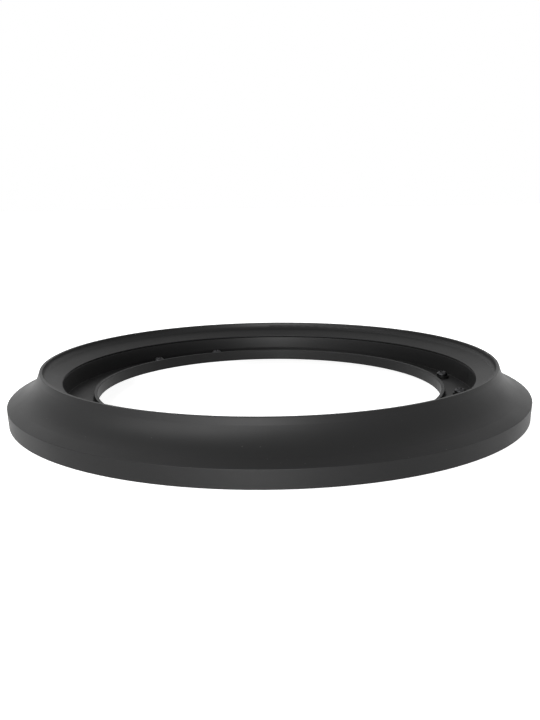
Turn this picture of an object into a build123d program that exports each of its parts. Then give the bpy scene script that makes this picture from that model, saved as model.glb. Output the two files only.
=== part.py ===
"""Swivel toilet flange: a flared cover ring closed by a flat base ring, with a channelled hub that turns in it.

Millimetres. The origin is the centre of the ring on the floor, +Z is up, and +X points midway between the
two screws of the first pair.
"""

import os
from math import cos, radians, sin, tan

from build123d import *

# Hub: collar, channel floor and channel wall
throat_radius = 59.8
collar_rim_width = 1.2
collar_draft = 0.25  # how much wider the collar is at its foot
collar_rise = 2.6  # above the channel floor
collar_rounding = 0.3
collar_foot_bend = 0.4
floor_thickness = 1.3
channel_width = 10.25  # from the collar's rim to the channel wall
channel_draft = 0.35  # how much the channel widens from its floor up
channel_bend = 0.1
hub_wall = 1.95
parting_gap = 0.3  # between the top of the channel wall and the ledge

# Guide hoop under the ledge, around the hub
swivel_clearance = 0.3  # between turning walls
hoop_wall = 1.4

# Cover ring, from the inner edge of the ledge out to the rim
ledge_overhang = 0.15  # beyond the channel wall
ledge_edge = 0.3  # thickness left at the inner edge
ledge_width = 6.05
ledge_rise = 2.55
lip_bend = 1.8
lip_draft = 0.2
lip_drop = 2.1  # crest down to the outer end of the ledge
crest_width = 1.0
crest_rounding = 0.2
crest_slope_width = 2.33  # from the crest down to the knee
crest_slope_rise = 6.81
skirt_bend = 11.5  # at the knee
skirt_underside_bend = 6.0
skirt_width = 8.52  # from the knee out to the rim
skirt_rise = 3.72
rim_height = 5.5
rim_draft = 0.3  # how much the rim narrows towards the floor
rim_edge_rounding = 0.15
cover_wall = 1.8

# Base ring and floor gasket
base_gap = 1.1  # between the guide hoop and the base ring
base_thickness = 2.2
base_fit = 0.1  # between the base ring and the rim
gasket_inset = 1.3  # from the inner edge of the base ring
gasket_width = 3.0
gasket_thickness = 1.2
gasket_fit = 0.1

# Retainers under the channel floor
pair_count = 3
pair_spread = 23.4  # angle between the two screws of a pair
retainer_span = 40.0
retainer_reach = 6.3  # beyond the hub, over the base ring
retainer_land = 1.9  # from the screw centres to the inner edge
retainer_thickness = 1.0
retainer_corner = 1.5

# Stiffening ribs and screw bosses inside the cover ring
rib_count = 24
rib_thickness = 1.2
rib_sink = 0.9  # depth of the ribs' ends below the outer skin
base_screw_count = 6
base_boss_radius = 2.5
base_boss_turn = 30.0  # first boss, from +X

# O-ring in the wall of the hub
seal_cord = 1.3
seal_groove_height = 1.7
seal_seat_gap = 0.05

# Hub screws, M2 pan head
screw_inset = 5.2  # from the collar's rim to the screw centres
screw_shank_radius = 0.97
screw_tapped_radius = 1.0
screw_clearance_radius = 1.15
screw_head_radius = 2.0
screw_head_height = 1.6
screw_head_side = 0.75  # upright part of the head, below its dome
screw_length = 3.5
screw_recess_width = 0.55
screw_recess_span = 2.1
screw_recess_depth = 0.9
screw_recess_taper = 12.0
hub_boss_radius = 2.5
hub_boss_height = 0.9

# Base screws, 2.2 mm countersunk self-tapping
base_shank_radius = 1.0
base_pilot_radius = 1.03
base_hole_radius = 1.25
base_head_radius = 2.0
base_head_angle = 90.0
base_head_sink = 0.2  # head below the face of the base ring
base_screw_length = 4.5
base_recess_width = 0.5
base_recess_span = 1.9
base_recess_depth = 0.8
screw_tip = 0.4

# Radii that follow, from the throat outwards
collar_outer_radius = throat_radius + collar_rim_width
screw_circle = collar_outer_radius + screw_inset
channel_radius = collar_outer_radius + channel_width
hub_radius = channel_radius + hub_wall
groove_radius = hub_radius - seal_cord
hoop_inner_radius = hub_radius + swivel_clearance
hoop_outer_radius = hoop_inner_radius + hoop_wall
ledge_radius = channel_radius - ledge_overhang
crest_radius = ledge_radius + ledge_width + lip_draft + crest_width
rim_radius = crest_radius + crest_slope_width + skirt_width
rim_base_radius = rim_radius - rim_draft
rim_inner_radius = rim_base_radius - cover_wall
base_inner_radius = hoop_outer_radius + base_gap
gasket_inner_radius = base_inner_radius + gasket_inset
retainer_inner_radius = screw_circle - retainer_land
retainer_outer_radius = hub_radius + retainer_reach
rib_inner_radius = retainer_outer_radius + swivel_clearance
base_screw_circle = (rib_inner_radius + rim_inner_radius) / 2

# Heights that follow, from the floor up
retainer_top = base_thickness + retainer_thickness
channel_floor = retainer_top + floor_thickness
collar_top = channel_floor + collar_rise
hoop_bottom = retainer_top + swivel_clearance
ring_height = rim_height + skirt_rise + crest_slope_rise
ledge_height = ring_height - lip_drop - ledge_rise
ledge_underside = ledge_height - ledge_edge
hub_top = ledge_underside - parting_gap
seal_height = (channel_floor + hub_top) / 2
pair_angles = [360 / pair_count * index for index in range(pair_count)]
screw_angles = [angle + side * pair_spread / 2 for angle in pair_angles for side in (-1, 1)]


def beneath(start, end, depth):
    """Line at a depth below the one between two points of the skin, as a point and a direction."""
    run = (end - start).normalized()
    return start + Vector(-run.Y, run.X) * depth, run


def upright(radius):
    """Upright line at a distance from the axis, as a point and a direction."""
    return Vector(radius, 0), Vector(0, 1)


def crossing(line, other):
    """Where two lines meet, each given as a point and a direction."""
    start, run = line
    other_start, other_run = other
    share = (other_start - start).cross(other_run).Z / run.cross(other_run).Z
    return start + run * share


def outline(corners):
    """Closed outline through corners given as (distance from the axis, height, rounding)."""
    FilletPolyline(
        *[(x, y) for x, y, rounding in corners],
        radius=[rounding for x, y, rounding in corners],
        close=True,
    )


def around(angle, radius, height):
    """Plane with its origin at a place on a circle round the axis, and its x direction outwards."""
    turn = radians(angle)
    return Plane(
        origin=(radius * cos(turn), radius * sin(turn), height),
        x_dir=(cos(turn), sin(turn), 0),
        z_dir=(0, 0, 1),
    )


def section_of(place):
    """Upright plane through the x and z directions of a place."""
    return Plane(origin=place.origin, x_dir=place.x_dir, z_dir=-place.y_dir)


# Outer skin of the cover ring, from the floor to the inner edge of the ledge
rim_top = Vector(rim_radius, rim_height)
knee = rim_top + Vector(-skirt_width, skirt_rise)
crest_edge = knee + Vector(-crest_slope_width, crest_slope_rise)
lip_foot = crest_edge + Vector(-crest_width - lip_draft, -lip_drop)
ledge_end = lip_foot + Vector(-ledge_width, -ledge_rise)
skin = [
    (rim_base_radius, 0, 0),
    (rim_top.X, rim_top.Y, rim_edge_rounding),
    (knee.X, knee.Y, skirt_bend),
    (crest_edge.X, crest_edge.Y, crest_rounding),
    (crest_edge.X - crest_width, crest_edge.Y, crest_rounding),
    (lip_foot.X, lip_foot.Y, lip_bend),
    (ledge_end.X, ledge_end.Y, ledge_edge / 3),
]


def skin_at(depth):
    """Corners of the skin at the rim, the knee and the lip, at a depth below the outer skin."""
    skirt = beneath(rim_top, knee, depth)
    crest = beneath(knee, crest_edge, depth)
    ledge = beneath(lip_foot, ledge_end, depth)
    return crossing(skirt, upright(rim_base_radius - depth)), crossing(skirt, crest), crossing(ledge, crest)


under_rim, under_knee, under_lip = skin_at(cover_wall)
rib_rim, rib_knee, rib_lip = skin_at(rib_sink)
over_hoop = crossing(beneath(lip_foot, ledge_end, cover_wall), upright(hoop_outer_radius))

# Ribs and screw bosses that stand on the base ring and end inside the wall of the cover ring
with BuildPart() as stiffeners:
    with BuildSketch(Plane.XY.offset(base_thickness)):
        with PolarLocations((rib_inner_radius + rim_base_radius) / 2, rib_count):
            Rectangle(rim_base_radius - rib_inner_radius, rib_thickness)
        with PolarLocations(base_screw_circle, base_screw_count, base_boss_turn):
            Circle(base_boss_radius)
    extrude(amount=ring_height)
    with BuildSketch(Plane.XZ):
        with BuildLine():
            outline(
                [
                    (rib_rim.X, 0, 0),
                    (rib_rim.X, rib_rim.Y, 0),
                    (rib_knee.X, rib_knee.Y, skirt_underside_bend),
                    (rib_lip.X, rib_lip.Y, 0),
                    (rib_lip.X, 0, 0),
                ]
            )
        make_face()
    revolve(axis=Axis.Z, mode=Mode.INTERSECT)
    with BuildSketch(Plane.XY.offset(base_thickness)):
        with PolarLocations(base_screw_circle, base_screw_count, base_boss_turn):
            Circle(base_pilot_radius)
    extrude(amount=base_screw_length + base_head_sink - base_thickness, mode=Mode.SUBTRACT)

# Cover ring
with BuildPart() as cover_ring:
    with BuildSketch(Plane.XZ):
        with BuildLine():
            outline(
                skin
                + [
                    (ledge_radius, ledge_underside, 0),
                    (hoop_inner_radius, ledge_underside, 0),
                    (hoop_inner_radius, hoop_bottom, 0),
                    (hoop_outer_radius, hoop_bottom, 0),
                    (over_hoop.X, over_hoop.Y, 0),
                    (under_lip.X, under_lip.Y, 0),
                    (under_knee.X, under_knee.Y, skirt_underside_bend),
                    (under_rim.X, under_rim.Y, 0),
                    (rim_inner_radius, 0, 0),
                ]
            )
        make_face()
    revolve(axis=Axis.Z)
    add(stiffeners.part)
cover_ring.part.label = "cover_ring"

# Base ring, with a groove for the gasket and six countersunk holes from below
base_outer_radius = rim_inner_radius - base_fit
gasket_outer_radius = gasket_inner_radius + gasket_width
with BuildPart() as base_ring:
    with BuildSketch(Plane.XZ):
        with BuildLine():
            outline(
                [
                    (base_inner_radius, 0, 0),
                    (gasket_inner_radius - gasket_fit, 0, 0),
                    (gasket_inner_radius - gasket_fit, gasket_thickness, 0),
                    (gasket_outer_radius + gasket_fit, gasket_thickness, 0),
                    (gasket_outer_radius + gasket_fit, 0, 0),
                    (base_outer_radius, 0, 0),
                    (base_outer_radius, base_thickness, 0),
                    (base_inner_radius, base_thickness, 0),
                ]
            )
        make_face()
    revolve(axis=Axis.Z)
    with Locations(Plane((0, 0, 0), x_dir=(1, 0, 0), z_dir=(0, 0, -1))):
        with PolarLocations(base_screw_circle, base_screw_count, base_boss_turn):
            CounterSinkHole(base_hole_radius, base_head_radius + base_head_sink, counter_sink_angle=base_head_angle)
base_ring.part.label = "base_ring"

# Floor gasket, in the groove of the base ring
with BuildPart() as floor_gasket:
    with BuildSketch(Plane.XY):
        Circle(gasket_outer_radius)
        Circle(gasket_inner_radius, mode=Mode.SUBTRACT)
    extrude(amount=gasket_thickness)
floor_gasket.part.label = "floor_gasket"

# Hub, with a boss and a clearance hole for each of its screws
groove_top = seal_height + seal_groove_height / 2
groove_bottom = seal_height - seal_groove_height / 2
with BuildPart() as hub:
    with BuildSketch(Plane.XZ):
        with BuildLine():
            outline(
                [
                    (throat_radius, retainer_top, 0),
                    (throat_radius, collar_top, collar_rounding),
                    (collar_outer_radius, collar_top, collar_rounding),
                    (collar_outer_radius + collar_draft, channel_floor, collar_foot_bend),
                    (channel_radius - channel_draft, channel_floor, channel_bend),
                    (channel_radius, hub_top, parting_gap),
                    (hub_radius, hub_top, parting_gap),
                    (hub_radius, groove_top, 0),
                    (groove_radius, groove_top, 0),
                    (groove_radius, groove_bottom, 0),
                    (hub_radius, groove_bottom, 0),
                    (hub_radius, retainer_top, 0),
                ]
            )
        make_face()
    revolve(axis=Axis.Z)
    for angle in screw_angles:
        with BuildSketch(around(angle, screw_circle, channel_floor)):
            Circle(hub_boss_radius)
        extrude(amount=hub_boss_height)
    for angle in screw_angles:
        with BuildSketch(around(angle, screw_circle, retainer_top)):
            Circle(screw_clearance_radius)
        extrude(amount=floor_thickness + hub_boss_height, mode=Mode.SUBTRACT)
hub.part.label = "hub"

# O-ring
with BuildPart() as swivel_seal:
    with BuildSketch(Plane.XZ):
        with Locations((groove_radius + seal_seat_gap + seal_cord / 2, seal_height)):
            Circle(seal_cord / 2)
    revolve(axis=Axis.Z)
swivel_seal.part.label = "swivel_seal"

pieces = [cover_ring, base_ring, floor_gasket, hub, swivel_seal]

# Retainers, one under each pair of hub screws
for number, angle in enumerate(pair_angles, 1):
    with BuildPart() as retainer:
        with BuildSketch(Plane.XY.offset(base_thickness)):
            with BuildLine():
                start = angle - retainer_span / 2
                inner = CenterArc((0, 0), retainer_inner_radius, start, retainer_span)
                outer = CenterArc((0, 0), retainer_outer_radius, start, retainer_span)
                Line(inner @ 0, outer @ 0)
                Line(inner @ 1, outer @ 1)
            face = make_face()
            fillet(face.vertices(), retainer_corner)
            with PolarLocations(screw_circle, 2, angle - pair_spread / 2, pair_spread, endpoint=True):
                Circle(screw_tapped_radius, mode=Mode.SUBTRACT)
        extrude(amount=retainer_thickness)
    retainer.part.label = f"retainer_{number}"
    pieces.append(retainer)

# Hub screws: domed head with a cross recess, on a plain shank
dome_rise = screw_head_height - screw_head_side
dome_radius = (screw_head_radius**2 + dome_rise**2) / (2 * dome_rise)
for number, angle in enumerate(screw_angles, 1):
    seat = around(angle, screw_circle, channel_floor + hub_boss_height)
    with BuildPart() as hub_screw:
        with BuildSketch(section_of(seat)):
            with BuildLine():
                Polyline(
                    (0, screw_head_height),
                    (0, -screw_length),
                    (screw_shank_radius - screw_tip, -screw_length),
                    (screw_shank_radius, screw_tip - screw_length),
                    (screw_shank_radius, 0),
                    (screw_head_radius, 0),
                    (screw_head_radius, screw_head_side),
                )
                RadiusArc((screw_head_radius, screw_head_side), (0, screw_head_height), -dome_radius)
            make_face()
        revolve(axis=Axis(seat.origin, seat.z_dir))
        with BuildSketch(seat.offset(screw_head_height)):
            Rectangle(screw_recess_span, screw_recess_width)
            Rectangle(screw_recess_width, screw_recess_span)
        extrude(amount=-screw_recess_depth, taper=screw_recess_taper, mode=Mode.SUBTRACT)
    hub_screw.part.label = f"hub_screw_{number}"
    pieces.append(hub_screw)

# Base screws: countersunk, driven from below
for number in range(1, base_screw_count + 1):
    angle = base_boss_turn + 360 / base_screw_count * (number - 1)
    seat = around(angle, base_screw_circle, base_head_sink)
    head_depth = (base_head_radius - base_shank_radius) / tan(radians(base_head_angle / 2))
    with BuildPart() as base_screw:
        with BuildSketch(section_of(seat)):
            with BuildLine():
                Polyline(
                    (0, 0),
                    (base_head_radius, 0),
                    (base_shank_radius, head_depth),
                    (base_shank_radius, base_screw_length - screw_tip),
                    (base_shank_radius - screw_tip, base_screw_length),
                    (0, base_screw_length),
                    close=True,
                )
            make_face()
        revolve(axis=Axis(seat.origin, seat.z_dir))
        with BuildSketch(seat):
            Rectangle(base_recess_span, base_recess_width)
            Rectangle(base_recess_width, base_recess_span)
        extrude(amount=base_recess_depth, mode=Mode.SUBTRACT)
    base_screw.part.label = f"base_screw_{number}"
    pieces.append(base_screw)

os.makedirs("parts", exist_ok=True)
for piece in pieces:
    export_step(piece.part, f"parts/{piece.part.label}.step")
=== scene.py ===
"""Looks of a swivel toilet flange, a fitting for the joint between a toilet and its soil pipe.

The frame gives the solids, in metres, with the ring's centre on the floor at the origin. Here the plastic
rings, the rubber seals and the steel retainers get their finishes, the screws get threads and rounded
heads, and a pale studio is set up around them.
"""

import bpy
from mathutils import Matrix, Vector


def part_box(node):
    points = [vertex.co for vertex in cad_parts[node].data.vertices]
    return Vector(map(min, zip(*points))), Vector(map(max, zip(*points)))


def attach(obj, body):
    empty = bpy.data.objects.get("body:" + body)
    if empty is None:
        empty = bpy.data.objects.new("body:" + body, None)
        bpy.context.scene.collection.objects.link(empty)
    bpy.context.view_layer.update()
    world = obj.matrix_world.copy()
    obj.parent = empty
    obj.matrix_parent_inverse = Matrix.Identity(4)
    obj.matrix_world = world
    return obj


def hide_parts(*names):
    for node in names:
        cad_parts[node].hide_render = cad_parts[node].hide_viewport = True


bl_info = {
    "name": "Swivel toilet flange",
    "version": (1, 1, 0),
    "blender": (4, 5, 0),
    "location": "3D View > Sidebar > Flange",
    "description": "Finishes every piece of a swivel toilet flange and sets up a pale studio around it",
    "category": "Object",
}

from math import cos, floor, pi, radians, sin, sqrt, tau

import bmesh
import bpy
from bpy.props import FloatProperty, FloatVectorProperty, IntProperty, PointerProperty
from bpy.types import Operator, Panel, PropertyGroup
from mathutils import Euler, Matrix, Vector

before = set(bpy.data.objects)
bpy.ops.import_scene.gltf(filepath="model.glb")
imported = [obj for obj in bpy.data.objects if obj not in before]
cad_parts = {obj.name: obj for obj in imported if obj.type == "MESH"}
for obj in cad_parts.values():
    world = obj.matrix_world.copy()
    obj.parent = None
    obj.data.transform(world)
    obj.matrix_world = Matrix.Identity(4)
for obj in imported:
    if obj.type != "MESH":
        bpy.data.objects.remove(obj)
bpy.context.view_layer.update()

HUB_SCREWS = sorted(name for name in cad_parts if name.startswith("hub_screw"))
BASE_SCREWS = sorted(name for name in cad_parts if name.startswith("base_screw"))
RETAINERS = sorted(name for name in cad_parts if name.startswith("retainer"))


# ---------------------------------------------------------------- settings


def colour(name, description, value):
    """A colour property."""
    return FloatVectorProperty(
        name=name, description=description, default=value, size=3, min=0.0, max=1.0, subtype="COLOR"
    )


def factor(name, description, value):
    """A property from 0 to 1."""
    return FloatProperty(
        name=name, description=description, default=value, min=0.0, max=1.0, subtype="FACTOR"
    )


def length(name, description, value):
    """A length property, in metres."""
    return FloatProperty(
        name=name,
        description=description,
        default=value,
        min=0.0,
        precision=6,
        unit="LENGTH",
        subtype="DISTANCE",
    )


def watts(name, description, value):
    """The power of a lamp."""
    return FloatProperty(name=name, description=description, default=value, min=0.0, unit="POWER")


def angle(name, description, value):
    """An angle property, with its default in degrees."""
    return FloatProperty(
        name=name, description=description, default=radians(value), unit="ROTATION", subtype="ANGLE"
    )


class FlangePlastic(PropertyGroup):
    """Moulded plastic of the cover ring, the hub and the base ring."""

    cover_colour: colour("Cover", "Colour of the cover ring", (0.0036, 0.0036, 0.0037))
    hub_colour: colour("Hub", "Colour of the hub", (0.0036, 0.0036, 0.0037))
    base_colour: colour("Base", "Colour of the base ring", (0.011, 0.011, 0.0113))
    # Paler colour on outer edges: rubbing wear and a painted edge highlight.
    rub_highlight_colour: colour("Rubbed, highlit edge", "Colour where an edge is rubbed", (0.016, 0.016, 0.0165))
    dust_colour: colour("Dust", "Colour of the dust", (0.16, 0.155, 0.145))
    cover_roughness: factor("Cover roughness", "How matt the cover ring is", 0.5)
    hub_roughness: factor("Hub roughness", "How matt the hub is", 0.5)
    base_roughness: factor("Base roughness", "How matt the underside is", 0.52)
    roughness_change: factor("Roughness change", "How much the sheen changes from place to place", 0.05)
    tint_change: factor("Tint change", "How much the colour changes from place to place", 0.12)
    gloss: factor("Gloss", "Strength of the plastic's reflections", 0.2)
    cloud_size: length("Cloud size", "Size of the changes in colour and sheen", 0.018)
    grain_size: length("Grain size", "Size of the grain of the mould", 0.00016)
    grain_depth: length("Grain depth", "Depth of that grain", 0.000003)
    # Width and amount of the paler edges: rubbing wear and a painted edge highlight.
    edge_width: length("Edge width", "Width of the rubbed stretch along edges", 0.00012)
    rub_and_highlight: factor("Rubbing and highlight", "How far the edges are rubbed", 0.2)
    dust: factor("Dust amount", "Share of the dust specks that show", 0.15)
    dust_size: length("Dust size", "Distance between dust specks", 0.0016)


class FlangeRubber(PropertyGroup):
    """Rubber of the floor gasket and the O-ring."""

    gasket_colour: colour("Gasket", "Colour of the floor gasket", (0.035, 0.035, 0.037))
    seal_colour: colour("O-ring", "Colour of the O-ring", (0.018, 0.018, 0.018))
    gasket_roughness: factor("Gasket roughness", "How matt the gasket is", 0.82)
    seal_roughness: factor("O-ring roughness", "How matt the O-ring is", 0.46)
    gasket_clouds: length("Gasket clouds", "Size of the changes in the gasket's colour", 0.008)
    seal_clouds: length("O-ring clouds", "Size of the changes in the O-ring's colour", 0.004)
    cell_size: length("Cell size", "Size of the cells of the gasket's foam", 0.00035)
    cell_depth: length("Cell depth", "Depth of those cells", 0.00004)
    grain_size: length("Grain size", "Size of the grain of the O-ring", 0.00012)
    grain_depth: length("Grain depth", "Depth of that grain", 0.000002)
    bloom: factor("Bloom", "Pale film on the rubber", 0.25)


class FlangeSteel(PropertyGroup):
    """Steel of the retainers and the screws."""

    sheet_colour: colour("Sheet", "Colour of the retainers", (0.52, 0.53, 0.54))
    worn_colour: colour("Worn sheet", "Colour of the rubbed edges of the retainers", (0.7, 0.7, 0.7))
    oxide_colour: colour("Oxide", "Colour of the blackened screws", (0.03, 0.03, 0.0315))
    # Bright colour on screw rims and recess edges: bare steel and a painted highlight.
    bare_and_highlight_colour: colour("Bare steel and highlight", "Colour where the black is rubbed off", (0.3, 0.3, 0.3))
    sheet_roughness: factor("Sheet roughness", "How matt the retainers are", 0.34)
    oxide_roughness: factor("Oxide roughness", "How matt the screws are", 0.36)
    streak_size: length("Streak size", "Distance between the rolling marks", 0.0001)
    streak_depth: length("Streak depth", "Depth of the rolling marks", 0.0000015)
    spangle_size: length("Spangle size", "Size of the crystals in the zinc", 0.004)
    grain_size: length("Grain size", "Size of the grain of the black oxide", 0.00009)
    grain_depth: length("Grain depth", "Depth of that grain", 0.0000015)
    # Width and amount of the paler edges: rubbing wear and a painted edge highlight.
    edge_width: length("Edge width", "Width of the rubbed stretch along edges", 0.00006)
    rub_and_highlight: factor("Rubbing and highlight", "How far the edges are rubbed", 0.35)


class FlangeScrews(PropertyGroup):
    """Shape of the screws."""

    columns: IntProperty(name="Columns", description="Points round each screw", default=72, min=24)
    rows: IntProperty(name="Rows", description="Rows of points for each turn of thread", default=8, min=4)
    shank_radius: length("Shank radius", "Outside of the machine thread", 0.00097)
    shank_length: length("Shank length", "Machine screw, below its head", 0.0035)
    head_height: length("Head height", "Pan head, from its seat to its top", 0.0016)
    coarse_radius: length("Coarse radius", "Outside of the self-tapping thread", 0.001)
    pitch: length("Pitch", "Rise of one turn of the machine thread", 0.0004)
    coarse_pitch: length("Coarse pitch", "Rise of one turn of the self-tapping thread", 0.0008)
    thread_depth: length("Thread depth", "Depth of the machine thread", 0.00022)
    coarse_depth: length("Coarse depth", "Depth of the self-tapping thread", 0.00032)
    recess_width: length("Recess width", "Width of the arms of the cross recess", 0.00078)
    recess_span: length("Recess span", "Distance across the cross recess", 0.0025)
    recess_depth: length("Recess depth", "Depth of the cross recess", 0.0011)
    head_side: length("Head side", "Upright part of the pan head", 0.00075)
    edge_rounding: length("Edge rounding", "Rounding of the edges of the head", 0.00016)
    sharp_angle: angle("Sharp angle", "Edges that turn by more than this stay sharp", 38)
    turn_step: angle("Turn", "How much further each screw is turned than the one before", 137.5)


class FlangeStudio(PropertyGroup):
    """Floor, lamps and camera."""

    lamp_distance: length("Lamp distance", "From the ring to each lamp", 1.2)
    lamp_size: length("Lamp size", "Width of each soft lamp", 0.55)
    front_size: length("Front lamp size", "Width of the two low front lamps", 0.14)
    upper_size: length("Upper front lamp size", "Width of the lamp above them", 0.2)
    front_power: watts("Front lamp", "Low lamp straight in front", 9.6)
    front_left_power: watts("Front left lamp", "Low lamp beside it, to the left", 7.7)
    upper_front_power: watts("Upper front lamp", "Lamp above them, mirrored by the floor", 2.5)
    key_power: watts("Key lamp", "Main lamp, in front and to the left", 7.7)
    left_power: watts("Left lamp", "Lamp from the left", 3.9)
    top_power: watts("High lamp", "High lamp behind the ring, to the left", 0.8)
    back_power: watts("Back lamp", "Lamp behind the ring, to the left", 0.32)
    low_back_power: watts("Low back lamps", "Pair of low lamps behind the ring", 0.4)
    fill: factor("Fill", "Level of the even light from all round", 0.0)
    white: factor("White", "Level at which the background shows", 1.0)
    floor_colour: colour("Floor", "Colour of the floor", (0.8, 0.8, 0.8))
    floor_glow: factor("Floor glow", "Share of the white that the floor shows by itself", 0.94)
    floor_roughness: factor("Floor roughness", "How matt the floor is", 0.2)
    floor_reach: length("Floor reach", "From the centre to each side of the floor", 3.0)
    floor_drop: length("Floor drop", "Air left under the ring", 0.0002)
    view_turn: angle("View turn", "Bearing of the view from the front of the part", 1.6)
    camera_distance: length("Camera distance", "From the centre of the ring, along the floor", 0.286339)
    camera_height: length("Camera height", "Above the floor", 0.07397)
    camera_offset: length("Camera offset", "To the right of the centre", 0.00032)
    camera_pitch: angle("Camera pitch", "Below the horizon", 11.6206)
    camera_roll: angle("Camera roll", "Turn about the view", -0.7375)
    camera_lens: FloatProperty(
        name="Lens", description="Focal length on a sensor 36 mm wide", default=41.42, unit="CAMERA"
    )


# ---------------------------------------------------------------- shader helpers


def add_node(tree, kind, **settings):
    """A node with attributes set by name, and inputs set through `inputs`."""
    values = settings.pop("inputs", {})
    node = tree.nodes.new(kind)
    for name, value in settings.items():
        setattr(node, name, value)
    for name, value in values.items():
        node.inputs[name].default_value = value
    return node


def do_math(tree, operation, first, second, clamp=False):
    """The result of a Math node on two numbers or outputs."""
    node = add_node(tree, "ShaderNodeMath", operation=operation, use_clamp=clamp)
    for socket, value in zip(node.inputs, (first, second)):
        if isinstance(value, bpy.types.NodeSocket):
            tree.links.new(value, socket)
        else:
            socket.default_value = value
    return node.outputs[0]


def rescale(tree, value, low, high, start=0.0, end=1.0):
    """A value taken from one range, start to end, to another, low to high."""
    node = add_node(tree, "ShaderNodeMapRange")
    tree.links.new(value, node.inputs["Value"])
    for socket, amount in (("From Min", start), ("From Max", end), ("To Min", low), ("To Max", high)):
        if isinstance(amount, bpy.types.NodeSocket):
            tree.links.new(amount, node.inputs[socket])
        else:
            node.inputs[socket].default_value = amount
    return node.outputs["Result"]


def sized_place(tree, size, stretch=(1.0, 1.0, 1.0)):
    """Place on the object, divided by a size and squeezed along its axes."""
    place = add_node(tree, "ShaderNodeTexCoord").outputs["Object"]
    mapping = add_node(tree, "ShaderNodeMapping")
    mapping.inputs["Scale"].default_value = stretch
    scale = add_node(tree, "ShaderNodeVectorMath", operation="SCALE")
    tree.links.new(place, mapping.inputs["Vector"])
    tree.links.new(mapping.outputs["Vector"], scale.inputs[0])
    tree.links.new(do_math(tree, "DIVIDE", 1.0, size), scale.inputs["Scale"])
    return scale.outputs["Vector"]


def noise(tree, place, detail):
    """Smooth noise at a place, from 0 to 1."""
    node = add_node(tree, "ShaderNodeTexNoise", inputs={"Scale": 1.0, "Detail": detail})
    tree.links.new(place, node.inputs["Vector"])
    return node.outputs["Fac"]


def new_group(name, inputs, output, kind):
    """An empty shader node group with number or colour inputs: its tree, its inputs and its one output."""
    group = bpy.data.node_groups.new(name, "ShaderNodeTree")
    for label, value in inputs.items():
        socket = "NodeSocketFloat" if isinstance(value, float) else "NodeSocketColor"
        group.interface.new_socket(label, in_out="INPUT", socket_type=socket).default_value = value
    group.interface.new_socket(output, in_out="OUTPUT", socket_type=kind)
    return group, group.nodes.new("NodeGroupInput").outputs, group.nodes.new("NodeGroupOutput").inputs[0]


def use_group(tree, group, **values):
    """The output of a group node whose inputs, with underscores for spaces, are set."""
    node = add_node(tree, "ShaderNodeGroup", node_tree=group)
    for name, value in values.items():
        socket = node.inputs[name.replace("_", " ")]
        if isinstance(value, bpy.types.NodeSocket):
            tree.links.new(value, socket)
        else:
            socket.default_value = (*value, 1.0) if socket.type == "RGBA" else value
    return node.outputs[0]


def grain_group():
    """Fine grain that spark erosion leaves in a mould: shallow pits between rounded hills."""
    group, given, out = new_group("Mould grain", {"Size": 0.0002}, "Height", "NodeSocketFloat")
    pit_share = 0.5
    place = sized_place(group, given["Size"])
    pits = add_node(
        group, "ShaderNodeTexVoronoi", feature="SMOOTH_F1", inputs={"Scale": 1.0, "Smoothness": 0.6}
    )
    group.links.new(place, pits.inputs["Vector"])
    hills = noise(group, place, detail=3.0)
    low_pits = do_math(group, "MULTIPLY", pits.outputs["Distance"], pit_share)
    group.links.new(do_math(group, "ADD", low_pits, hills), out)
    return group


def cells_group():
    """Closed cells of foam rubber: raised walls around flat hollows."""
    group, given, out = new_group("Foam cells", {"Size": 0.0004}, "Height", "NodeSocketFloat")
    wall_width = 0.22
    place = sized_place(group, given["Size"])
    cells = add_node(group, "ShaderNodeTexVoronoi", feature="DISTANCE_TO_EDGE", inputs={"Scale": 1.0})
    group.links.new(place, cells.inputs["Vector"])
    group.links.new(rescale(group, cells.outputs["Distance"], 1.0, 0.0, 0.0, wall_width), out)
    return group


def streaks_group():
    """Long fine marks that rolling leaves on sheet metal, drawn out along X."""
    group, given, out = new_group("Rolling marks", {"Size": 0.0001}, "Height", "NodeSocketFloat")
    place = sized_place(group, given["Size"], stretch=(0.02, 1.0, 1.0))
    group.links.new(noise(group, place, detail=4.0), out)
    return group


def spangle_group():
    """Crystals of zinc, each with its own sheen."""
    group, given, out = new_group("Zinc spangle", {"Size": 0.004}, "Value", "NodeSocketFloat")
    crystals = add_node(group, "ShaderNodeTexVoronoi", feature="F1", inputs={"Scale": 1.0})
    group.links.new(sized_place(group, given["Size"]), crystals.inputs["Vector"])
    tones = add_node(group, "ShaderNodeSeparateColor")
    group.links.new(crystals.outputs["Color"], tones.inputs["Color"])
    group.links.new(tones.outputs["Red"], out)
    return group


def swing(tree, value, amount):
    """A value from 0 to 1 turned into a swing of up to an amount to either side of 0."""
    to_either_side = do_math(tree, "MULTIPLY", do_math(tree, "SUBTRACT", value, 0.5), 2.0)
    return do_math(tree, "MULTIPLY", to_either_side, amount)


def tint_group():
    """A colour that grows a little lighter and darker from place to place."""
    inputs = {"Colour": (0.01, 0.01, 0.01, 1.0), "Change": 0.1, "Size": 0.02}
    group, given, out = new_group("Cloudy tint", inputs, "Colour", "NodeSocketColor")
    clouds = noise(group, sized_place(group, given["Size"]), detail=5.0)
    level = do_math(group, "ADD", swing(group, clouds, given["Change"]), 1.0)
    shade = add_node(group, "ShaderNodeVectorMath", operation="SCALE")
    group.links.new(given["Colour"], shade.inputs[0])
    group.links.new(level, shade.inputs["Scale"])
    group.links.new(shade.outputs["Vector"], out)
    return group


def sheen_group():
    """Roughness that changes in soft patches, as on a skin that has been handled."""
    inputs = {"Roughness": 0.4, "Change": 0.05, "Size": 0.02}
    group, given, out = new_group("Patchy sheen", inputs, "Roughness", "NodeSocketFloat")
    patches = noise(group, sized_place(group, given["Size"], stretch=(1.0, 1.0, 2.0)), detail=3.0)
    change = swing(group, patches, given["Change"])
    group.links.new(do_math(group, "ADD", given["Roughness"], change, clamp=True), out)
    return group


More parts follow.
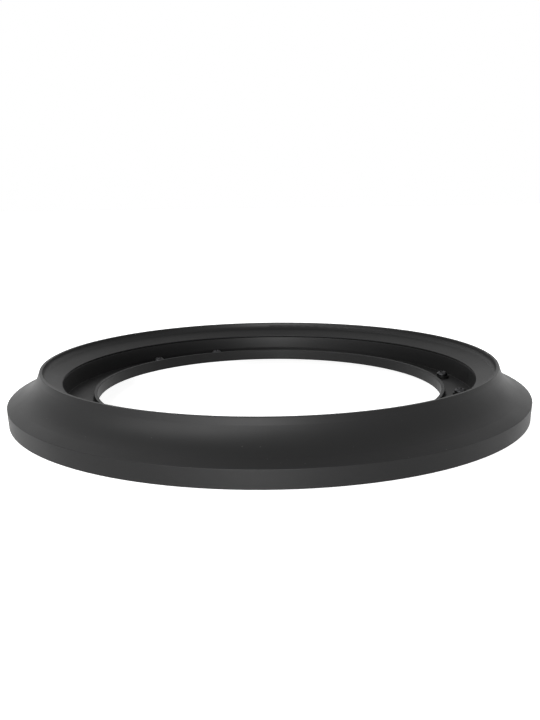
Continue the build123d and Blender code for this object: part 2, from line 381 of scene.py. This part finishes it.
def edge_rub_highlight_group():
    """Where an edge is rubbed, with a painted highlight along it: grows from 0 on faces to 1 on the sharpest
    outer edges, broken up.
    """
    inputs = {"Width": 0.0001, "Amount": 0.3}
    group, given, out = new_group("Edge rub and highlight", inputs, "Amount", "NodeSocketFloat")
    patch_size = 0.003
    least_patch = 0.3
    depth = add_node(group, "ShaderNodeAmbientOcclusion", samples=6, inside=True, only_local=True)
    group.links.new(given["Width"], depth.inputs["Distance"])
    sharp = rescale(group, depth.outputs["AO"], 1.0, 0.0, start=0.55, end=0.95)
    clouds = noise(group, sized_place(group, patch_size), detail=4.0)
    patches = rescale(group, clouds, least_patch, 1.0, start=0.35, end=0.65)
    # Mask of the paler edges: rubbing wear and a painted edge highlight.
    rubbed = do_math(group, "MULTIPLY", sharp, patches)
    group.links.new(do_math(group, "MULTIPLY", rubbed, given["Amount"], clamp=True), out)
    return group


def dust_group():
    """Specks of dust on faces that look up."""
    inputs = {"Size": 0.0015, "Amount": 0.2}
    group, given, out = new_group("Dust specks", inputs, "Amount", "NodeSocketFloat")
    place = sized_place(group, given["Size"])
    specks = add_node(group, "ShaderNodeTexVoronoi", feature="F1", inputs={"Scale": 1.0})
    group.links.new(place, specks.inputs["Vector"])
    dots = rescale(group, specks.outputs["Distance"], 1.0, 0.0, start=0.02, end=0.06)
    tones = add_node(group, "ShaderNodeSeparateColor")
    group.links.new(specks.outputs["Color"], tones.inputs["Color"])
    kept = do_math(group, "LESS_THAN", tones.outputs["Red"], given["Amount"])
    facing = add_node(group, "ShaderNodeSeparateXYZ")
    group.links.new(add_node(group, "ShaderNodeNewGeometry").outputs["Normal"], facing.inputs["Vector"])
    upward = rescale(group, facing.outputs["Z"], 0.0, 1.0, start=0.3, end=0.8)
    shown = do_math(group, "MULTIPLY", dots, kept)
    group.links.new(do_math(group, "MULTIPLY", shown, upward), out)
    return group


GROUP_MAKERS = {
    "Mould grain": grain_group,
    "Foam cells": cells_group,
    "Rolling marks": streaks_group,
    "Zinc spangle": spangle_group,
    "Cloudy tint": tint_group,
    "Patchy sheen": sheen_group,
    "Edge rub and highlight": edge_rub_highlight_group,
    "Dust specks": dust_group,
}


def shared(name):
    """A shared node group, built the first time it is asked for."""
    return bpy.data.node_groups.get(name) or GROUP_MAKERS[name]()


def cloudy_tint(tree, tint, change, size):
    """A colour that changes by a share of itself over clouds of a size."""
    return use_group(tree, shared("Cloudy tint"), Colour=tint, Change=change, Size=size)


def patchy_sheen(tree, roughness, change, size):
    """A roughness that changes by an amount over patches of a size."""
    return use_group(tree, shared("Patchy sheen"), Roughness=roughness, Change=change, Size=size)


def edge_rub_and_highlight(tree, look):
    """How far each point is rubbed and lit by a painted edge highlight, with the width and the amount of a
    group of settings.
    """
    return use_group(tree, shared("Edge rub and highlight"), Width=look.edge_width, Amount=look.rub_and_highlight)


def mix_colours(tree, first, second, share):
    """Two colours or outputs, mixed by a share that is an output."""
    node = add_node(tree, "ShaderNodeMix", data_type="RGBA")
    tree.links.new(share, node.inputs["Factor"])
    for socket, value in (("A", first), ("B", second)):
        target = next(item for item in node.inputs if item.name == socket and item.type == "RGBA")
        if isinstance(value, bpy.types.NodeSocket):
            tree.links.new(value, target)
        else:
            target.default_value = (*value, 1.0)
    return next(item for item in node.outputs if item.type == "RGBA")


def new_material(name):
    """A node material: itself, its tree and its Principled BSDF."""
    material = bpy.data.materials.new(name)
    material.use_nodes = True
    return material, material.node_tree, material.node_tree.nodes["Principled BSDF"]


def add_bump(tree, shader, height, depth):
    """Relief of a depth on a shader."""
    bump = add_node(tree, "ShaderNodeBump", inputs={"Strength": 1.0, "Distance": depth})
    tree.links.new(height, bump.inputs["Height"])
    tree.links.new(bump.outputs["Normal"], shader.inputs["Normal"])


def dress(names, material):
    """Gives a material to pieces of the frame."""
    for name in names:
        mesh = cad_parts[name].data
        mesh.materials.clear()
        mesh.materials.append(material)


# ---------------------------------------------------------------- materials


def moulded_plastic(name, tint, roughness, look):
    """Black plastic from a grained mould, a little uneven in colour and sheen, paler at its edges from
    rubbing wear and a painted edge highlight.
    """
    material, tree, shader = new_material(name)
    body = cloudy_tint(tree, tint, look.tint_change, look.cloud_size)
    rubbed = edge_rub_and_highlight(tree, look)
    specks = use_group(tree, shared("Dust specks"), Size=look.dust_size, Amount=look.dust)
    # Paler on outer edges: rubbing wear and a painted edge highlight.
    worn = mix_colours(tree, body, look.rub_highlight_colour, rubbed)
    dusty = mix_colours(tree, worn, look.dust_colour, specks)
    sheen = patchy_sheen(tree, roughness, look.roughness_change, look.cloud_size)
    tree.links.new(dusty, shader.inputs["Base Color"])
    tree.links.new(sheen, shader.inputs["Roughness"])
    shader.inputs["Specular IOR Level"].default_value = look.gloss
    add_bump(tree, shader, use_group(tree, shared("Mould grain"), Size=look.grain_size), look.grain_depth)
    return material


def foam_rubber(name, look):
    """Closed-cell foam rubber, paler on the walls of its cells."""
    material, tree, shader = new_material(name)
    paling = 2.2
    cells = use_group(tree, shared("Foam cells"), Size=look.cell_size)
    body = cloudy_tint(tree, look.gasket_colour, change=0.2, size=look.gasket_clouds)
    pale = [min(1.0, channel * paling) for channel in look.gasket_colour]
    rough = patchy_sheen(tree, look.gasket_roughness, change=0.06, size=0.006)
    film = do_math(tree, "MULTIPLY", cells, look.bloom)
    tree.links.new(mix_colours(tree, body, pale, film), shader.inputs["Base Color"])
    tree.links.new(rough, shader.inputs["Roughness"])
    shader.inputs["Specular IOR Level"].default_value = 0.3
    add_bump(tree, shader, cells, look.cell_depth)
    return material


def smooth_rubber(name, look):
    """Smooth moulded rubber with a faint bloom."""
    material, tree, shader = new_material(name)
    body = cloudy_tint(tree, look.seal_colour, look.bloom, look.seal_clouds)
    rough = patchy_sheen(tree, look.seal_roughness, change=0.08, size=0.005)
    tree.links.new(body, shader.inputs["Base Color"])
    tree.links.new(rough, shader.inputs["Roughness"])
    shader.inputs["Specular IOR Level"].default_value = 0.35
    shader.inputs["Sheen Weight"].default_value = 0.1
    add_bump(tree, shader, use_group(tree, shared("Mould grain"), Size=look.grain_size), look.grain_depth)
    return material


def rolled_steel(name, look):
    """Zinc-coated sheet with rolling marks."""
    material, tree, shader = new_material(name)
    dullness = 0.8
    change = 0.08
    spangle = use_group(tree, shared("Zinc spangle"), Size=look.spangle_size)
    dull = [channel * dullness for channel in look.sheet_colour]
    sheet = mix_colours(tree, dull, look.sheet_colour, spangle)
    rubbed = edge_rub_and_highlight(tree, look)
    marks = use_group(tree, shared("Rolling marks"), Size=look.streak_size)
    smoothest = look.sheet_roughness - change
    roughest = look.sheet_roughness + change
    rough = rescale(tree, marks, smoothest, roughest, start=0.3, end=0.7)
    # Paler along outer edges through the shared mask of rubbing wear and painted edge highlight.
    tree.links.new(mix_colours(tree, sheet, look.worn_colour, rubbed), shader.inputs["Base Color"])
    tree.links.new(rough, shader.inputs["Roughness"])
    shader.inputs["Metallic"].default_value = 1.0
    shader.inputs["Anisotropic"].default_value = 0.4
    add_bump(tree, shader, marks, look.streak_depth)
    return material


def black_oxide(name, look):
    """Blackened steel, bright along its edges: rubbed bare steel and a painted highlight on the head's rims.
    """
    material, tree, shader = new_material(name)
    body = cloudy_tint(tree, look.oxide_colour, change=0.25, size=0.0015)
    rubbed = edge_rub_and_highlight(tree, look)
    rough = patchy_sheen(tree, look.oxide_roughness, change=0.08, size=0.001)
    # Brighter on rims and recess edges: bare steel and a painted highlight.
    tree.links.new(mix_colours(tree, body, look.bare_and_highlight_colour, rubbed), shader.inputs["Base Color"])
    tree.links.new(rough, shader.inputs["Roughness"])
    shader.inputs["Metallic"].default_value = 1.0
    add_bump(tree, shader, use_group(tree, shared("Mould grain"), Size=look.grain_size), look.grain_depth)
    return material


# ---------------------------------------------------------------- screws


# Down the wall of a recess: share of its reach, share of its depth
RECESS_SLOPE = ((0.35, 0.9), (0.62, 0.78), (0.86, 0.4))
# Across the face of a head: share of the way from the recess to the edge
FACE_STEPS = (0.2, 0.45, 0.7, 0.88, 1.0)


def even_ring(radius, height):
    """A round ring of a screw, the same at every bearing."""
    return lambda bearing: (radius, height)


def cross_reach(bearing, span, width):
    """How far a cross recess reaches from its middle at a bearing, its corners softened."""
    crispness = 8
    least_sine = 0.001
    turn = abs((bearing + pi / 4) % (pi / 2) - pi / 4)
    to_end = span / 2 / cos(turn)
    to_side = width / 2 / max(sin(turn), least_sine)
    return (to_end**-crispness + to_side**-crispness) ** (-1 / crispness)


def recess_lip(look):
    """Width of the rounded edge of a recess."""
    return look.edge_rounding * 0.6


def recess_rings(look, top):
    """Rings of a cross recess from its middle out to its rounded edge.

    `top` gives the height of the head's face at a radius.
    """

    def at(share, out, down):
        def ring(bearing):
            reach = cross_reach(bearing, look.recess_span, look.recess_width) * share + out
            return reach, top(reach) - down

        return ring

    lip = recess_lip(look)
    slope = [at(share, 0.0, look.recess_depth * depth) for share, depth in RECESS_SLOPE]
    return [*slope, at(0.97, 0.0, lip), at(1.0, lip * 0.3, lip * 0.3), at(1.0, lip, 0.0)]


def face_rings(look, top, radius):
    """Rings from a recess's edge out to a round radius on the head's face."""

    def between(share):
        def ring(bearing):
            start = cross_reach(bearing, look.recess_span, look.recess_width) + recess_lip(look)
            reach = start + (radius - start) * share
            return reach, top(reach)

        return ring

    return [between(share) for share in FACE_STEPS]


def thread_rings(look, radius, depth, pitch, start, end):
    """Rings down a threaded shank, which runs in and out of its thread over one turn."""
    crest_flat = 1.25  # above 1, the crest of the thread has a flat
    count = max(2, round((start - end) / pitch * look.rows))

    def at(height):
        fade = min(1.0, (start - height) / pitch, (height - end) / pitch)

        def ring(bearing):
            turn = height / pitch - bearing / tau
            share = turn - floor(turn)
            crest = min(1.0, crest_flat * (1.0 - abs(2.0 * share - 1.0)))
            return radius - depth * (1.0 - crest * max(0.0, fade)), height

        return ring

    return [at(start + (end - start) * index / count) for index in range(count + 1)]


def turned_mesh(name, rings, ends, look):
    """A closed mesh through rings and two middle points, whose heights are `ends`.

    A ring is a rule that gives a radius and a height at each bearing.
    """
    columns = look.columns
    build = bmesh.new()
    loops = []
    for ring in rings:
        loop = []
        for column in range(columns):
            bearing = tau * column / columns
            radius, height = ring(bearing)
            loop.append(build.verts.new((radius * cos(bearing), radius * sin(bearing), height)))
        loops.append(loop)
    for near, far in zip(loops, loops[1:]):
        for column in range(columns):
            after = (column + 1) % columns
            build.faces.new((near[column], far[column], far[after], near[after]))
    for loop, height in ((loops[0], ends[0]), (loops[-1], ends[1])):
        middle = build.verts.new((0.0, 0.0, height))
        for column in range(columns):
            build.faces.new((middle, loop[column], loop[(column + 1) % columns]))
    bmesh.ops.recalc_face_normals(build, faces=build.faces)
    mesh = bpy.data.meshes.new(name)
    build.to_mesh(mesh)
    build.free()
    mesh.shade_smooth()
    mesh.set_sharp_from_angle(angle=look.sharp_angle)
    return mesh


def fit_screw(node, mesh, base_height, body, material, turn, tilt=0.0):
    """Puts a screw mesh on the axis of a screw of the frame, in its place, tilted over and turned."""
    low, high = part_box(node)
    screw = bpy.data.objects.new(f"{node}_threaded", mesh)
    screw.location = ((low.x + high.x) / 2, (low.y + high.y) / 2, base_height)
    screw.rotation_euler = (tilt, 0.0, turn)
    mesh.materials.clear()
    mesh.materials.append(material)
    bpy.context.scene.collection.objects.link(screw)
    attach(screw, body)
    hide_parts(node)
    return screw


def pan_head_mesh(look, name, head_radius):
    """A pan-head machine screw, its seat at height 0."""
    shank_radius = look.shank_radius
    rise = look.head_height - look.head_side
    dome_radius = (head_radius**2 + rise**2) / (2 * rise)
    rounding = look.edge_rounding
    tip = shank_radius * 0.4
    thread_start = -look.pitch * 0.5
    thread_end = tip - look.shank_length

    def top(radius):
        return look.head_side + sqrt(max(dome_radius**2 - radius**2, 0.0)) - (dome_radius - rise)

    rings = recess_rings(look, top)
    rings += face_rings(look, top, head_radius - rounding)
    rings += [
        even_ring(head_radius - rounding * 0.3, look.head_side - rounding * 0.1),
        even_ring(head_radius, look.head_side - rounding * 0.7),
        even_ring(head_radius, rounding * 0.5),
        even_ring(head_radius - rounding * 0.5, 0.0),
        even_ring(shank_radius, 0.0),
    ]
    rings += thread_rings(look, shank_radius, look.thread_depth, look.pitch, thread_start, thread_end)
    rings.append(even_ring(shank_radius - tip, -look.shank_length))
    return turned_mesh(name, rings, (top(0.0) - look.recess_depth, -look.shank_length), look)


def countersunk_mesh(look, name, head_radius, screw_length):
    """A countersunk self-tapping screw, its face at height 0, hanging down from it."""
    shank_radius = look.coarse_radius
    neck_radius = shank_radius * 0.8
    point_radius = shank_radius * 0.2
    point_length = shank_radius * 1.2
    head_depth = head_radius - shank_radius
    rounding = look.edge_rounding * 0.4
    thread_start = -head_depth - look.coarse_pitch * 0.2
    thread_end = point_length - screw_length

    def top(radius):
        return 0.0

    rings = recess_rings(look, top)
    rings += face_rings(look, top, head_radius - rounding)
    rings += [
        even_ring(head_radius, -rounding),
        even_ring(head_radius, -rounding * 2),
        even_ring(neck_radius, -head_depth),
    ]
    rings += thread_rings(look, shank_radius, look.coarse_depth, look.coarse_pitch, thread_start, thread_end)
    rings.append(even_ring(point_radius, -screw_length * 0.98))
    return turned_mesh(name, rings, (-look.recess_depth, -screw_length), look)


# ---------------------------------------------------------------- operators


class FLANGE_OT_cover_ring(Operator):
    """Finish the flared cover ring"""

    bl_idname = "flange.cover_ring"
    bl_label = "Cover ring"

    def execute(self, context):
        look = context.scene.flange_plastic
        plastic = moulded_plastic("cover_plastic", look.cover_colour, look.cover_roughness, look)
        dress(["cover_ring"], plastic)
        return {"FINISHED"}


class FLANGE_OT_hub(Operator):
    """Finish the hub that turns inside the cover ring"""

    bl_idname = "flange.hub"
    bl_label = "Hub"

    def execute(self, context):
        look = context.scene.flange_plastic
        plastic = moulded_plastic("hub_plastic", look.hub_colour, look.hub_roughness, look)
        dress(["hub"], plastic)
        return {"FINISHED"}


class FLANGE_OT_base_ring(Operator):
    """Finish the flat base ring"""

    bl_idname = "flange.base_ring"
    bl_label = "Base ring"

    def execute(self, context):
        look = context.scene.flange_plastic
        plastic = moulded_plastic("base_plastic", look.base_colour, look.base_roughness, look)
        dress(["base_ring"], plastic)
        return {"FINISHED"}


class FLANGE_OT_rubber(Operator):
    """Finish the floor gasket and the O-ring"""

    bl_idname = "flange.rubber"
    bl_label = "Rubber seals"

    def execute(self, context):
        look = context.scene.flange_rubber
        dress(["floor_gasket"], foam_rubber("gasket_foam", look))
        dress(["swivel_seal"], smooth_rubber("seal_rubber", look))
        return {"FINISHED"}


class FLANGE_OT_retainers(Operator):
    """Finish the sheet-steel retainers"""

    bl_idname = "flange.retainers"
    bl_label = "Retainers"

    def execute(self, context):
        dress(RETAINERS, rolled_steel("retainer_steel", context.scene.flange_steel))
        return {"FINISHED"}


class FLANGE_OT_hub_screws(Operator):
    """Make the pan-head screws of the hub"""

    bl_idname = "flange.hub_screws"
    bl_label = "Hub screws"

    def execute(self, context):
        look = context.scene.flange_screws
        steel = black_oxide("hub_screw_steel", context.scene.flange_steel)
        for number, node in enumerate(HUB_SCREWS):
            low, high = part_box(node)
            mesh = pan_head_mesh(look, f"{node}_threaded", (high.x - low.x) / 2)
            seat = low.z + look.shank_length
            turn = number * look.turn_step
            fit_screw(node, mesh, seat, "swivel_hub", steel, turn)
        return {"FINISHED"}


class FLANGE_OT_base_screws(Operator):
    """Make the countersunk screws of the base ring"""

    bl_idname = "flange.base_screws"
    bl_label = "Base screws"

    def execute(self, context):
        look = context.scene.flange_screws
        steel = black_oxide("base_screw_steel", context.scene.flange_steel)
        for number, node in enumerate(BASE_SCREWS):
            low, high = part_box(node)
            mesh = countersunk_mesh(look, f"{node}_threaded", (high.x - low.x) / 2, high.z - low.z)
            turn = number * look.turn_step
            fit_screw(node, mesh, low.z, "floor_ring", steel, turn, tilt=pi)
        return {"FINISHED"}


# ---------------------------------------------------------------- stage


def add_lamp(name, bearing, height, power, size, look):
    """A round soft lamp turned towards the ring, at a bearing and a height in degrees.

    Bearings run clockwise as seen from above, and 180 is straight in front for the camera.
    """
    turn = radians(bearing) + look.view_turn
    rise = radians(height)
    toward = Vector((sin(turn) * cos(rise), cos(turn) * cos(rise), sin(rise)))
    lamp = bpy.data.lights.new(name, "AREA")
    lamp.shape = "DISK"
    lamp.size = size
    lamp.energy = power
    holder = bpy.data.objects.new(name, lamp)
    holder.location = toward * look.lamp_distance
    holder.rotation_euler = (-toward).to_track_quat("-Z", "Y").to_euler()
    bpy.context.scene.collection.objects.link(holder)


def seen_directly(tree):
    """A value that is 1 for rays from the camera, from gloss and through glass, and 0 for soft light."""
    rays = add_node(tree, "ShaderNodeLightPath").outputs
    seen_or_mirrored = do_math(tree, "MAXIMUM", rays["Is Camera Ray"], rays["Is Glossy Ray"])
    return do_math(tree, "MAXIMUM", seen_or_mirrored, rays["Is Transmission Ray"])


def add_floor(look):
    """A wide pale floor that shows white and keeps the ring's shadow."""
    reach = look.floor_reach
    corners = [(-reach, -reach, 0), (reach, -reach, 0), (reach, reach, 0), (-reach, reach, 0)]
    mesh = bpy.data.meshes.new("floor")
    mesh.from_pydata(corners, [], [(0, 1, 2, 3)])
    paper = bpy.data.objects.new("floor", mesh)
    paper.location.z = -look.floor_drop
    bpy.context.scene.collection.objects.link(paper)
    material, tree, shader = new_material("floor_paper")
    tint = cloudy_tint(tree, look.floor_colour, change=0.02, size=0.05)
    tree.links.new(tint, shader.inputs["Base Color"])
    shader.inputs["Roughness"].default_value = look.floor_roughness
    shader.inputs["Emission Color"].default_value = (1.0, 1.0, 1.0, 1.0)
    glow = do_math(tree, "MULTIPLY", seen_directly(tree), look.floor_glow * look.white)
    tree.links.new(glow, shader.inputs["Emission Strength"])
    mesh.materials.append(material)


def add_world(look):
    """Even light from all round that shows as white."""
    world = bpy.data.worlds.new("studio")
    bpy.context.scene.world = world
    world.use_nodes = True
    tree = world.node_tree
    level = rescale(tree, seen_directly(tree), look.fill, look.white)
    tree.links.new(level, tree.nodes["Background"].inputs["Strength"])
    tree.nodes["Background"].inputs["Color"].default_value = (1.0, 1.0, 1.0, 1.0)


def add_camera(look):
    """The camera, level but for a small roll."""
    camera = bpy.data.cameras.new("camera")
    camera.lens = look.camera_lens
    camera.sensor_width = 36.0
    camera.clip_start = 0.01
    holder = bpy.data.objects.new("camera", camera)
    pitch = Euler((pi / 2 - look.camera_pitch, 0, 0)).to_matrix()
    roll = Euler((0, 0, look.camera_roll)).to_matrix()
    place = Vector((look.camera_offset, -look.camera_distance, look.camera_height))
    turn = Matrix.Rotation(-look.view_turn, 4, "Z")
    holder.matrix_world = turn @ Matrix.Translation(place) @ (pitch @ roll).to_4x4()
    bpy.context.scene.collection.objects.link(holder)
    bpy.context.scene.camera = holder


class FLANGE_OT_studio(Operator):
    """Set up the floor, the lamps and the camera"""

    bl_idname = "flange.studio"
    bl_label = "Studio"

    def execute(self, context):
        look = context.scene.flange_studio
        add_floor(look)
        add_world(look)
        for name, bearing, height, power, size in (
            ("front_lamp", 180, 3.5, look.front_power, look.front_size),
            ("front_left_lamp", 188, 3.5, look.front_left_power, look.front_size),
            ("upper_front_lamp", 190, 13, look.upper_front_power, look.upper_size),
            ("key_lamp", 210, 30, look.key_power, look.lamp_size),
            ("left_lamp", 240, 30, look.left_power, look.lamp_size),
            ("high_lamp", 315, 55, look.top_power, look.lamp_size),
            ("back_lamp", 330, 30, look.back_power, look.lamp_size),
            ("low_back_left_lamp", 330, 9, look.low_back_power, look.lamp_size),
            ("low_back_right_lamp", 30, 9, look.low_back_power, look.lamp_size),
        ):
            add_lamp(name, bearing, height, power, size, look)
        add_camera(look)
        context.scene.view_settings.view_transform = "Standard"
        return {"FINISHED"}


class FLANGE_PT_panel(Panel):
    """Lists the settings and the steps of the flange"""

    bl_label = "Flange"
    bl_space_type = "VIEW_3D"
    bl_region_type = "UI"
    bl_category = "Flange"

    def draw(self, context):
        for step in STEPS:
            self.layout.operator(step.bl_idname)
        for name, group in SETTINGS.items():
            box = self.layout.box()
            for field in group.__annotations__:
                box.prop(getattr(context.scene, name), field)


SETTINGS = {
    "flange_plastic": FlangePlastic,
    "flange_rubber": FlangeRubber,
    "flange_steel": FlangeSteel,
    "flange_screws": FlangeScrews,
    "flange_studio": FlangeStudio,
}
STEPS = (
    FLANGE_OT_cover_ring,
    FLANGE_OT_hub,
    FLANGE_OT_base_ring,
    FLANGE_OT_rubber,
    FLANGE_OT_retainers,
    FLANGE_OT_hub_screws,
    FLANGE_OT_base_screws,
    FLANGE_OT_studio,
)


def register():
    for group in SETTINGS.values():
        bpy.utils.register_class(group)
    for step in STEPS:
        bpy.utils.register_class(step)
    bpy.utils.register_class(FLANGE_PT_panel)
    for name, group in SETTINGS.items():
        setattr(bpy.types.Scene, name, PointerProperty(type=group))


def unregister():
    for name in SETTINGS:
        delattr(bpy.types.Scene, name)
    bpy.utils.unregister_class(FLANGE_PT_panel)
    for kind in (*reversed(STEPS), *reversed(SETTINGS.values())):
        bpy.utils.unregister_class(kind)


def main():
    """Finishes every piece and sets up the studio."""
    register()
    bpy.ops.flange.cover_ring()
    bpy.ops.flange.hub()
    bpy.ops.flange.base_ring()
    bpy.ops.flange.rubber()
    bpy.ops.flange.retainers()
    bpy.ops.flange.hub_screws()
    bpy.ops.flange.base_screws()
    bpy.ops.flange.studio()


if __name__ == "__main__":
    main()
